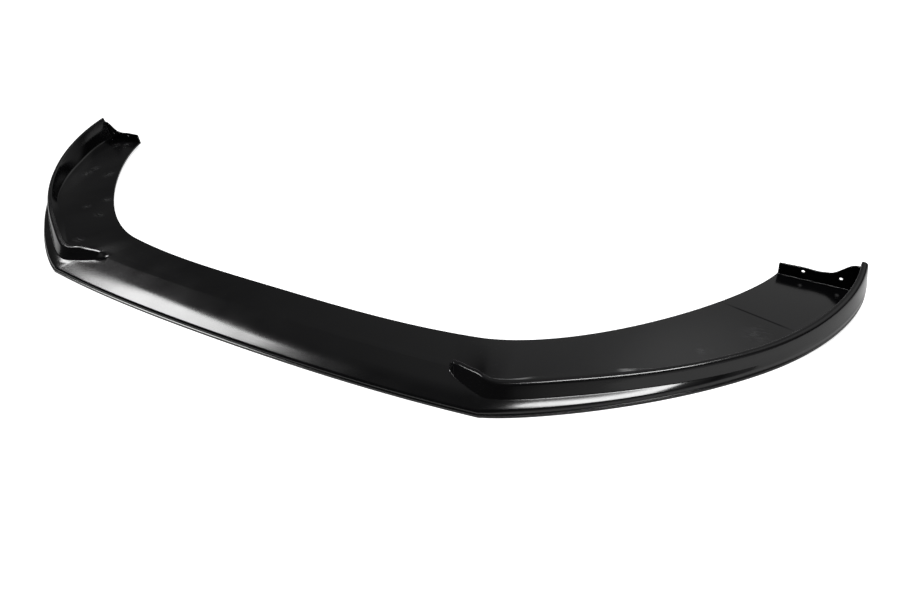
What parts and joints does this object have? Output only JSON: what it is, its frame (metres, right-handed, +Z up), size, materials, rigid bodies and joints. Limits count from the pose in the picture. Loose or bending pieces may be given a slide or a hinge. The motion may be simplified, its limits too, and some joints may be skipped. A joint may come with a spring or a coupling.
{
  "type": "front splitter lip",
  "caption": "Moulded front splitter lip: U-shaped deck with a rounded nose, stepped corner fins, rising end walls and drilled rear flanges.",
  "frame": {"origin": "on the bottom plane, midway across and midway along the lip", "axes": "+X to the lip's left end as mounted, across the car; +Y to the rear of the car, from the nose to the flanges; +Z up"},
  "size_m": [1.8032, 0.499, 0.062],
  "materials": {
    "gloss_black": "moulded gloss black, lightly scuffed"
  },
  "bodies": {
    "root": {"splitter_lip": "gloss_black"}
  },
  "joints": []
}
